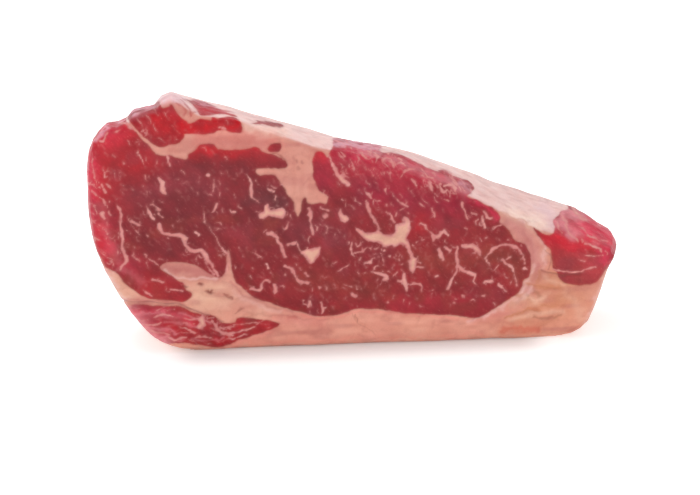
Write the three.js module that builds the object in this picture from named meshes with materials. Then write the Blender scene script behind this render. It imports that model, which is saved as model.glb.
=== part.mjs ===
// A raw beef strip loin steak, one solid, standing on the fat that runs along its long straight side.
// Millimetres, +Z up. The cut face shown looks along -Y, the thick end is at -X and the thin tail end
// at +X. The origin is on the table, in the middle of the steak's box.
import * as THREE from 'three';

// Driving dimensions.
const THICKNESS = 30; // from one cut face to the other
const CUT_RADIUS = 3; // rounding of the edge where a cut face meets the outside
const SHOULDER_RADIUS = 6.5; // the softer rounding where bare muscle reaches the upper edge
const SIDE_BULGE = 1; // how far the outside swells half way between the faces
const SPINE_START = [-58, 47]; // the line (x, z) that the rings on each face close in on
const SPINE_END = [64, 23];
const SPINE_OVERHANG = 38; // how far past the line's ends the outline reaches

// Mesh steps.
const AROUND = 124; // along the outline
const FRONT_RINGS = 12; // across the shown face
const BACK_RINGS = 9; // across the far face
const SPINE_STEPS = 22; // along the spine, each longer than a step of a face's innermost ring
const EDGE_STEPS = 3; // over each rounded edge
const SIDE_STEPS = 4; // through the thickness

// The outline: x and z on the shown face, then how far the far face's edge departs from it in x and z.
// Up the thick end, over the peak, down the long slope to the tail, and back along the flat fat side.
const OUTLINE = [
  [-62, 0, 0, 0],
  [-70, 2, -1, 0.5],
  [-77, 6.5, -1.5, 0],
  [-82.4, 13.5, -1.5, 0],
  [-86.6, 20.5, -1.5, 0],
  [-90.2, 28, -2.5, 0],
  [-93.6, 35.5, -2.5, 0],
  [-96.4, 45, -1, 0],
  [-97.9, 57, 0, -1],
  [-98.2, 70, 0.5, -3],
  [-97.6, 80, 1.5, -6.5],
  [-95.6, 87.4, 2.5, -9.5],
  [-91.2, 92.6, 3, -10.2],
  [-86, 92.5, 2, -9.3],
  [-83.6, 93.8, 1.5, -9.4],
  [-82, 95.6, 1, -8.2],
  [-76, 97.8, 0, -9.2],
  [-71.8, 99.1, 0, -9.7],
  [-70, 101.6, 0, -8.4],
  [-66.8, 103.2, 0, -8.8],
  [-62.5, 100.4, 0, -7],
  [-57, 96.4, 0, -4.5],
  [-50, 95.2, 0, -5.3],
  [-43, 94, 0, -6.3],
  [-35, 90, 0, -5],
  [-25, 86.5, 0, -4.5],
  [-15, 82.5, 0, -3.8],
  [-5, 80.2, 0, -4.8],
  [8, 77.2, 0, -4.7],
  [20, 72.7, 0, -2.5],
  [30, 67.6, 0, -0.8],
  [42, 60.8, 0, 1.3],
  [55, 53.2, 0, 2.6],
  [68, 46.4, 0.5, 3.8],
  [78, 42, 1.5, 5.2],
  [87, 39.8, 3, 3.4],
  [94.5, 37.2, 4.3, -1.4],
  [99.6, 34.4, 4.6, -3],
  [97.2, 27, 4, -0.5],
  [95, 19.5, 3, -1],
  [92.6, 11.5, 2.2, -0.5],
  [90, 5, 1.5, 0],
  [85, 1, 0.5, 0],
  [78, 0, 0, 0],
  [60, 0, 0, 0],
  [30, 0, 0, 0],
  [0, 0, 0, 0],
  [-30, 0, 0, 0],
  [-50, 0, 0, 0],
];

// Stretches of the upper edge (first x, last x) where muscle comes bare to the edge and rounds over it.
const SHOULDERS = [
  [-16, 56],
  [66, 104],
];
const SHOULDER_FADE = 18; // length over which a shoulder's rounding comes in
const UPPER_EDGE_Z = 28; // shoulders lie above this height

// Muscles that swell out of a cut face: centre x and z, half length, half height, how far they stand out.
const SWELLS = [
  [-66, 92, 22, 11, 1.1], // cap muscle over the thick end
  [-60, 58, 38, 34, 1.0], // eye, thick half
  [20, 42, 52, 30, 1.2], // eye, tail half
  [-76, 32, 17, 13, 0.8], // muscle in the lower corner of the thick end
  [-66, 10, 24, 11, 1.3], // strip of muscle below the long crease
  [87, 31, 14, 12, 1.6], // tail muscle
  [78, 10, 22, 12, 0.7], // lump of fat at the tail
];

// Creases between muscles, as lines of x and z.
const CREASES = [
  [[-88, 22], [-78, 22], [-68, 20.5], [-60, 17], [-50, 12.5]],
  [[-41, 24], [-33, 20], [-22, 15.5], [-10, 13]],
  [[66, 25], [71, 29], [78, 26], [88, 22]],
];
const CREASE_DEPTH = 0.9;
const CREASE_WIDTH = 2.4;
const RELIEF_FADE = 6; // distance from the edge over which a face's relief comes in

const HALF = THICKNESS / 2;

const clamp = (value, low, high) => Math.min(high, Math.max(low, value));
const mix = (a, b, share) => a + (b - a) * share;

function smoothstep(low, high, value) {
  const t = clamp((value - low) / (high - low), 0, 1);
  return t * t * (3 - 2 * t);
}

// Evenly spaced points on the closed outline, each with the far edge's departure from the shown one.
function outlinePoints() {
  const closed = true;
  const front = new THREE.CatmullRomCurve3(
    OUTLINE.map(([x, z]) => new THREE.Vector3(x, 0, z)), closed, 'catmullrom', 0.5,
  );
  const departure = new THREE.CatmullRomCurve3(
    OUTLINE.map(([, , dx, dz]) => new THREE.Vector3(dx, 0, dz)), closed, 'catmullrom', 0.5,
  );
  const points = [];
  for (let i = 0; i < AROUND; i += 1) {
    const t = front.getUtoTmapping(i / AROUND);
    const p = front.getPoint(t);
    const d = departure.getPoint(t);
    points.push({ x: p.x, z: p.z, dx: d.x, dz: d.z });
  }
  return points;
}

// The outline point at depth y, where y runs from -HALF at the shown face to HALF at the far one.
function outlineAt(point, y) {
  const share = (y + HALF) / THICKNESS;
  return { x: point.x + point.dx * share, z: point.z + point.dz * share };
}

// Where on the spine, as a share of its length, an outline point closes in on.
function spineShare(x) {
  return smoothstep(SPINE_START[0] - SPINE_OVERHANG, SPINE_END[0] + SPINE_OVERHANG, x);
}

function spinePoint(share) {
  return { x: mix(SPINE_START[0], SPINE_END[0], share), z: mix(SPINE_START[1], SPINE_END[1], share) };
}

function edgeRadius(point) {
  if (point.z < UPPER_EDGE_Z) return CUT_RADIUS;
  let share = 0;
  for (const [first, last] of SHOULDERS) {
    const rise = smoothstep(first, first + SHOULDER_FADE, point.x);
    const fall = 1 - smoothstep(last - SHOULDER_FADE, last, point.x);
    share = Math.max(share, Math.min(rise, fall));
  }
  return mix(CUT_RADIUS, SHOULDER_RADIUS, share);
}

function distanceToLine(x, z, line) {
  let nearest = Infinity;
  for (let i = 1; i < line.length; i += 1) {
    const [ax, az] = line[i - 1];
    const [bx, bz] = line[i];
    const length2 = (bx - ax) ** 2 + (bz - az) ** 2;
    const t = clamp(((x - ax) * (bx - ax) + (z - az) * (bz - az)) / length2, 0, 1);
    nearest = Math.min(nearest, Math.hypot(x - mix(ax, bx, t), z - mix(az, bz, t)));
  }
  return nearest;
}

// How far a cut face stands out at x and z: the muscles' swells less the creases.
function relief(x, z) {
  let height = 0;
  for (const [cx, cz, halfLength, halfHeight, rise] of SWELLS) {
    const q = ((x - cx) / halfLength) ** 2 + ((z - cz) / halfHeight) ** 2;
    if (q < 1) height += rise * (1 - q) ** 2;
  }
  for (const crease of CREASES) {
    height -= CREASE_DEPTH * Math.exp(-((distanceToLine(x, z, crease) / CREASE_WIDTH) ** 2));
  }
  return height;
}

// One ring of points at a depth: the outline moved in by inset, or by share of the way to the spine.
function ring(points, depthOf, insetOf, faceSign) {
  return points.map((point) => {
    const radius = edgeRadius(point);
    const y = depthOf(radius);
    const edge = outlineAt(point, y);
    const spine = spinePoint(spineShare(edge.x));
    const reach = Math.hypot(edge.x - spine.x, edge.z - spine.z);
    const inset = insetOf(radius, reach);
    const x = mix(edge.x, spine.x, inset / reach);
    const z = mix(edge.z, spine.z, inset / reach);
    const rise = faceSign * relief(x, z) * smoothstep(0, RELIEF_FADE, inset);
    return new THREE.Vector3(x, y + rise, Math.max(z, 0));
  });
}

// A cut face's rings, from its edge inwards, short of the spine.
function faceRings(points, faceSign, count) {
  const rings = [];
  for (let i = 1; i < count; i += 1) {
    const share = i / count;
    rings.push(ring(points, () => faceSign * HALF, (radius, reach) => mix(radius, reach, share), faceSign));
  }
  return rings;
}

// A rounded edge's rings, from the outside over to the face.
function edgeRings(points, faceSign) {
  const rings = [];
  for (let i = 0; i <= EDGE_STEPS; i += 1) {
    const angle = (i / EDGE_STEPS) * (Math.PI / 2);
    const depthOf = (radius) => faceSign * (HALF - radius * (1 - Math.sin(angle)));
    rings.push(ring(points, depthOf, (radius) => radius * (1 - Math.cos(angle)), faceSign));
  }
  return rings;
}

// The outside between the two rounded edges, from the far side to the shown side.
function sideRings(points) {
  const rings = [];
  for (let i = 1; i < SIDE_STEPS; i += 1) {
    const share = 1 - (2 * i) / SIDE_STEPS;
    const bulge = SIDE_BULGE * (1 - share * share);
    rings.push(ring(points, (radius) => share * (HALF - radius), () => -bulge, 0));
  }
  return rings;
}

// The points along the spine of one face.
function spineRow(faceSign) {
  const row = [];
  for (let i = 0; i <= SPINE_STEPS; i += 1) {
    const { x, z } = spinePoint(i / SPINE_STEPS);
    row.push(new THREE.Vector3(x, faceSign * (HALF + relief(x, z)), z));
  }
  return row;
}

// The spine point, counted from its start, that each point of a face's innermost ring is joined to.
function spineSteps(points, faceSign) {
  return points.map((point) => Math.round(spineShare(outlineAt(point, faceSign * HALF).x) * SPINE_STEPS));
}

// Two triangles between neighbouring points a, b of one row and c, d of the next, less any without area.
function addQuad(index, a, b, c, d) {
  if (a !== b) index.push(a, c, b);
  if (c !== d) index.push(b, c, d);
}

function steakGeometry() {
  const points = outlinePoints();
  const rings = [
    ...faceRings(points, 1, BACK_RINGS).reverse(),
    ...edgeRings(points, 1).reverse(),
    ...sideRings(points),
    ...edgeRings(points, -1),
    ...faceRings(points, -1, FRONT_RINGS),
  ];
  const corners = [...rings.flat(), ...spineRow(1), ...spineRow(-1)];
  const farSpine = rings.length * AROUND;
  const shownSpine = farSpine + SPINE_STEPS + 1;
  const rows = [
    spineSteps(points, 1).map((step) => farSpine + step),
    ...rings.map((_, r) => points.map((_, i) => r * AROUND + i)),
    spineSteps(points, -1).map((step) => shownSpine + step),
  ];
  const index = [];
  for (let r = 0; r + 1 < rows.length; r += 1) {
    for (let i = 0; i < AROUND; i += 1) {
      const next = (i + 1) % AROUND;
      addQuad(index, rows[r][i], rows[r][next], rows[r + 1][i], rows[r + 1][next]);
    }
  }
  const geometry = new THREE.BufferGeometry();
  geometry.setAttribute('position', new THREE.Float32BufferAttribute(corners.flatMap((p) => [p.x, p.y, p.z]), 3));
  geometry.setIndex(index);
  geometry.computeVertexNormals();
  return geometry;
}

const steakMaterial = new THREE.MeshStandardMaterial({ color: 0x9c3a3e, roughness: 0.45, metalness: 0 });

const steak = new THREE.Mesh(steakGeometry(), steakMaterial);
steak.name = 'steak';
steak.geometry.computeBoundingBox();
const middle = steak.geometry.boundingBox.getCenter(new THREE.Vector3());
steak.position.set(-middle.x, -middle.y, 0);

const group = new THREE.Group();
group.add(steak);

export default group;
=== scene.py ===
import math

import bmesh
import bpy
import numpy as np
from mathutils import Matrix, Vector


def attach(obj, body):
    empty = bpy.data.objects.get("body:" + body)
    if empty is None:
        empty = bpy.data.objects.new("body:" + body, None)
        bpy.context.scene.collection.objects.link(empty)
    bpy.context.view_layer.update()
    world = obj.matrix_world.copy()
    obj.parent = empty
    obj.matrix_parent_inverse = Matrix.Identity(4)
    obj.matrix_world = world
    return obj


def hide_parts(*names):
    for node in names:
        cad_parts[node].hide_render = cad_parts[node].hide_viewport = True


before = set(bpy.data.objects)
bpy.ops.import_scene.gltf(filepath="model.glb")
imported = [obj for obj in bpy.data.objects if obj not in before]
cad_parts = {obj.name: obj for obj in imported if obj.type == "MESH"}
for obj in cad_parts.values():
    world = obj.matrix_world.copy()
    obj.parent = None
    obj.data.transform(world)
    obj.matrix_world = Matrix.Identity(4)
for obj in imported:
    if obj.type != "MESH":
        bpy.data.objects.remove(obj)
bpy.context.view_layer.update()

MM = 0.001
HALF_THICKNESS = 15.0
MIDDLE_X = 2.26  # the drawn x that the frame puts at x = 0
VOXEL = 0.45
SMOOTHING_ROUNDS = 10
FAR_INSIDE = 3.0  # distances from an edge are kept within this
STREAK_REACH = 1.5  # how far from a streak its distance is worked out
DRAWN_FROM = (-72.0, -819.0, 400.6)  # lines from here carry the drawing on over the upper outside
LOW_ROW = 1.0  # the height on the drawing that the underside goes by
OUTLINE_SHAKE = 0.38  # how far drawn places are moved, so that lines come out ragged
MARBLING_SHAKE = 0.32
TONE_SHAKE = 1.2
CREASE_SHAKE = 0.5
BEHIND_WANDER = (5.0, 1.0)  # how far the muscles' outlines wander in x and z behind the shown face
FAR_WANDER = (3.0, 2.4)  # and how far they do on the far face
MARBLING_ROUGH = 0.24
FAR_RIM_ROUNDS = 24
FAR_LEFT_OUT = 0.25  # the share of the shown face's streaks that the far face doesn't have
FAR_TOP_DROP = [
    (-97, 6), (-90, 11), (-66, 10), (-57, 6), (-43, 7), (-25, 6), (8, 7), (30, 3.5), (55, 0), (78, -3),
    (95, -2),
]  # x, and how much lower than the shown face's the far face's muscles lie at the top
FLAT_BELOW = 0.3  # what lies lower than this stays flat on the table
BRIGHT_WAY = (-0.1, 0.7, 0.7)
ROOM_LEVELS = (0.22, 1.0)  # how bright the room is away from BRIGHT_WAY and towards it
# A painted shadow: the table glows least in a patch under the steak, and fully beyond a short reach from it.
PAINTED_SHADOW_HALF = (0.060, 0.0145, 0.0)  # half the size of the patch of table, under the steak, that glows least
PAINTED_SHADOW_REACH = 0.016  # how far from that patch the table glows fully
SHADOW_AND_GLOW_LEVELS = (0.10, 0.46)
TABLE_WHITE = (0.84, 0.84, 0.84, 1.0)
GLOW_WHITE = (0.98, 1.0, 0.98, 1.0)
FLOOR_HALF = 6.0
LAMPS = [
    ("top_lamp", (-0.25, 0.15, 0.9), 0.5, 3.5),
    ("front_lamp", (0.1, -1.1, 0.3), 0.8, 4.6),
]  # name, place, width and watts
LAMP_AIM = (0, 0, 0.04)
CAMERA_AZIMUTH = math.radians(-5)
CAMERA_ELEVATION = math.radians(24)
CAMERA_DISTANCE = 0.90
CAMERA_LENS = 121.0
CAMERA_SENSOR = 36.0
CAMERA_AIM = ((-0.38 - MIDDLE_X) * MM, 0.0, 0.0345)

# Seeds, so that each noise and each random draw is the same in each run.
OUTLINE_SEED = 3
MARBLING_SEED = 4
LEAN_SEED = 5
FAT_SEED = 6
LOW_ROW_SEED = 8
CREASE_SEED = 9
FLECK_SEED = 11
FAR_FLECK_SEED = 12
FINE_RELIEF_SEED = 14
BROAD_RELIEF_SEED = 15
FAR_RIM_SEED = 16
ROUGH_SEED = 17
LEAN_SHAKE_SEED = 18
FAT_SHAKE_SEED = 19
FAR_STREAK_SEED = 21
BEHIND_X_SEED = 23
BEHIND_Z_SEED = 24
FAR_WANDER_SEED = 31

# Colours, as seen under plain white light; some of them paint light, sheen or shade, as noted.
MEAT_DULL = (0.160, 0.015, 0.021)
MEAT_RED = (0.250, 0.015, 0.020)
MEAT_SCARLET = (0.485, 0.011, 0.018)
MEAT_FLAME = (0.435, 0.003, 0.008)
MEAT_CRIMSON = (0.400, 0.020, 0.040)
MEAT_MAUVE = (0.250, 0.032, 0.044)
MEAT_BROWN = (0.235, 0.033, 0.024)
MEAT_LOBE = (0.310, 0.016, 0.034)
MEAT_PLUM = (0.270, 0.009, 0.030)
MEAT_SHADE = (0.120, 0.026, 0.030)
MEAT_TAIL = (0.390, 0.038, 0.043)
# Red of the tail's top: painted light where it faces up.
LIT_TAIL_RED = (0.570, 0.022, 0.036)
# Rose: mostly painted sheen and light on edges and tops that face the light, partly the lean's own tone.
MEAT_ROSE_AND_SHEEN = (0.620, 0.036, 0.080)
MEAT_CERISE = (0.600, 0.012, 0.045)
ROSE_PINK = (0.680, 0.240, 0.270)
# Silvery pink: the cap's silverskin, and painted sheen and highlights on rims elsewhere.
SILVERSKIN_AND_SHEEN = (0.680, 0.330, 0.400)
FAT_CREAM = (0.600, 0.265, 0.205)
FAT_LOW = (0.720, 0.320, 0.235)
FAT_LIGHT = (0.690, 0.375, 0.270)
FAT_PINK = (0.620, 0.230, 0.190)
FAT_ORANGE = (0.615, 0.245, 0.150)
FAT_BLUSH = (0.560, 0.225, 0.205)
FAT_UMBER = (0.400, 0.165, 0.100)
FAT_RED = (0.620, 0.140, 0.095)
FAT_MAUVE = (0.450, 0.145, 0.130)
FAT_SALMON = (0.690, 0.230, 0.185)
# Lilac white: a painted highlight.
LILAC_HIGHLIGHT = (0.700, 0.460, 0.500)
FAT_RUST = (0.520, 0.190, 0.100)
# Painted shade for the fat's bottom edge.
FAT_BOTTOM_SHADE = (0.440, 0.250, 0.200)
FAT_PALE = (0.760, 0.500, 0.470)
FAT_WHITE = (0.860, 0.620, 0.520)
FAT_GREY = (0.620, 0.400, 0.390)
FAT_MARBLED = (0.610, 0.230, 0.215)
FAT_BRIGHT = (0.690, 0.310, 0.285)
FAT_INNER = (0.670, 0.360, 0.270)
BLOOD_RED = (0.420, 0.040, 0.040)
BROWN_LINE = (0.240, 0.050, 0.035)
# Painted shade: creases are darkened towards this colour.
CREASE_SHADE = (0.190, 0.045, 0.035)

# The muscles as drawn. Where one reaches the edge of the steak, its line runs on outside.
EYE = [
    (-95.5, 42), (-104, 44), (-106, 70), (-104, 96), (-92, 103), (-85, 100), (-83.6, 95.2), (-81.2, 91.8),
    (-79, 88.8), (-77.2, 86.4), (-75.2, 84.6), (-73, 81.6), (-70, 80.8), (-68, 81), (-66, 80), (-63, 79),
    (-61.8, 79.5), (-61.3, 81), (-59, 82.5), (-57, 84.5), (-54, 85), (-52, 84.5), (-50.5, 82.5), (-46, 82),
    (-40, 82.5), (-36, 83), (-34, 81.2), (-29.5, 79.2), (-26.5, 77.6), (-25, 75.4), (-26.5, 74.2),
    (-31, 74.4), (-35.6, 74.6), (-36.4, 73), (-35, 71.8), (-31, 71.9), (-29.5, 71.3), (-28, 69), (-26, 66.5),
    (-25, 63.5), (-23.5, 62), (-22.5, 60), (-22.2, 57), (-21.3, 54.5), (-20, 57), (-19.8, 60), (-19.5, 61.5),
    (-18.5, 62), (-17.5, 60), (-15.5, 59.3), (-13, 59.8), (-10.5, 59.3), (-9.8, 61.5), (-10, 62.3),
    (-12, 63.8), (-13.7, 65.5), (-14.8, 69), (-15.6, 73), (-15.5, 77), (-14.6, 79.8), (-13, 80.5),
    (-11.5, 80), (-10.2, 78), (-9.3, 79.5), (-8.4, 81.6), (-7.2, 84), (-7, 90), (8, 89), (9, 80.4),
    (14, 78.8), (18, 77.5), (22, 75.2), (26, 73.8), (29, 72.3), (33, 70.5), (37, 68.8), (41, 67.8),
    (43.4, 67), (44, 64), (43.6, 62), (42.2, 60.7), (44, 59.6), (46, 58.7), (48, 57.2), (50, 56), (52, 55),
    (53.8, 53), (54.6, 51), (54.6, 49.4), (57, 48), (59, 45.5), (60, 42.5), (62, 41), (64.5, 40), (66, 38),
    (66.8, 35), (67, 30), (66.5, 26), (64.5, 25.2), (64, 22.5), (62.5, 20), (60, 18), (57, 15.5), (53, 13),
    (50, 11), (47.5, 10), (44, 10.3), (40, 11), (33, 12), (25, 12.6), (18, 13.3), (10, 14.8), (4, 15.8),
    (0, 15.5), (-4, 14.2), (-8, 13.3), (-13, 13), (-17, 13.8), (-20, 15), (-25, 16.5), (-30, 18.5),
    (-34, 20), (-38, 22), (-41, 24.5), (-44, 28), (-45.5, 31), (-46.2, 34), (-46.5, 38), (-47.3, 42),
    (-48, 38), (-48.2, 34), (-49.5, 31.5), (-51, 31), (-54.5, 32.5), (-58, 35.5), (-63, 37.3), (-68, 38),
    (-72, 37), (-72.8, 35.5), (-71, 34), (-68, 32), (-66, 30), (-64.5, 29), (-64, 27), (-62, 25.5),
    (-61.5, 24), (-62.5, 22.5), (-65, 21.5), (-69, 22), (-72, 22.5), (-77, 23), (-79.5, 24.5), (-83, 27),
    (-86.5, 30), (-88, 33), (-90, 35), (-93, 37),
]
CAP_MUSCLE = [
    (-83.4, 98), (-83.4, 101.5), (-76, 103), (-71.6, 102.5), (-70.6, 99.6), (-68, 99.8), (-66.6, 100.6),
    (-65.8, 99.2), (-65, 97.5), (-63.5, 95.6), (-61.5, 94), (-60.3, 93.2), (-57, 94.4), (-54, 94),
    (-52.6, 93.9), (-52, 94.8), (-50, 94.2), (-48, 95), (-44.5, 95.1), (-43, 94), (-41.8, 92), (-41, 90.5),
    (-41.4, 89.3), (-43, 89), (-46, 89.5), (-48, 90.3), (-50, 89.8), (-51.5, 88.9), (-55, 88.4), (-58, 88.8),
    (-62, 89), (-62.4, 87.6), (-64, 86.1), (-66, 85.2), (-68, 84.8), (-71, 84.2), (-73, 84.8), (-74.8, 86),
    (-76.2, 87.4), (-77.8, 88.9), (-79.4, 91), (-81.2, 93.2), (-82.6, 95.4),
]
ISLAND = [(-32, 82.5), (-31.5, 81), (-30, 80.5), (-28, 80.7), (-27.2, 82), (-27.5, 84.3), (-30, 84.2)]
UPPER_PATCH = [
    (-62.3, 102.3), (-60, 100.6), (-58.5, 98.8), (-57, 97), (-56, 95.8), (-52, 95.9), (-47, 96.2),
    (-43.4, 95.2), (-43.8, 96.2), (-47, 97.5), (-50, 98.7), (-54, 99.8), (-58, 101.4),
]
UPPER_SLIVER = [
    (-38, 92.4), (-35, 93), (-31, 92.4), (-27.5, 91.6), (-26.5, 90.8), (-28.5, 90.3), (-31.5, 90.8),
    (-34.5, 91.9),
]
TAIL_MUSCLE = [
    (67.5, 46.6), (69, 44), (71, 41.5), (72.5, 39.5), (74.5, 37.5), (75, 36), (75.2, 33), (75.5, 30.5),
    (76, 29), (77.3, 27.5), (78, 25.5), (80, 24), (82, 22.7), (85, 22), (88, 22), (91, 22.3), (93, 23.5),
    (95, 26), (97, 29), (106, 31), (108, 60), (84, 64), (80, 58), (78.6, 53.6), (77.5, 52), (76, 50.5),
    (75.5, 48), (75.8, 45.5), (75, 43.8), (72, 44), (70, 44.9),
]
LOWER_MUSCLE = [
    (-86, 20.5), (-80, 21), (-76, 20), (-70, 19.8), (-66, 19.5), (-62, 17), (-57, 15.5), (-53, 14.5),
    (-50, 12), (-46, 11.5), (-44.5, 13.5), (-42, 13.8), (-38, 13), (-33, 12), (-29, 11), (-28.8, 10),
    (-33, 8), (-38, 6), (-44, 4.5), (-47, 2.8), (-52, 1.9), (-58, 2.9), (-64, 3.8), (-70, 4.1), (-76, 3.6),
    (-90, 2), (-96, 18),
]
MUSCLES = [EYE, CAP_MUSCLE, ISLAND, UPPER_PATCH, UPPER_SLIVER, TAIL_MUSCLE, LOWER_MUSCLE]

# The larger patches of marbling on the shown face.
STAR_PATCH = [
    (0, 49.5), (2.5, 48.2), (5, 47.2), (8, 47.3), (9, 48.8), (9.5, 47.2), (12, 46.2), (14.5, 46.5),
    (15.2, 48), (15.5, 49.8), (17, 50), (18.3, 50.5), (18.3, 52), (18.5, 53), (20.5, 52.5), (21, 49),
    (20.5, 46), (19.8, 44), (20.6, 41.5), (22, 38), (23.3, 35.5), (23.3, 32.5), (22.2, 29.5), (21, 31),
    (20.5, 34), (21, 36), (20.3, 38.5), (19, 41), (17, 42), (15, 40.5), (13.5, 41.5), (11, 40.8), (10, 42),
    (7, 43), (4, 44), (2, 46.5),
]
WEDGE_PATCH = [
    (-20, 40.5), (-17.5, 41), (-16, 41), (-13.5, 42), (-12.8, 41), (-13, 38.5), (-14.5, 36.5), (-15, 35.5),
    (-17, 35.3), (-18, 37), (-18.5, 38.5), (-20, 39.5),
]
BLOCK_PATCH = [
    (-35.6, 54.8), (-33, 54.6), (-30, 55), (-27.4, 54.2), (-26, 55.6), (-26.2, 57.6), (-28.4, 58),
    (-31.4, 57.6), (-32.4, 60), (-33.6, 59.6), (-34, 57.2), (-35.6, 56.4),
]
PATCHES = [STAR_PATCH, WEDGE_PATCH, BLOCK_PATCH]

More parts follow.
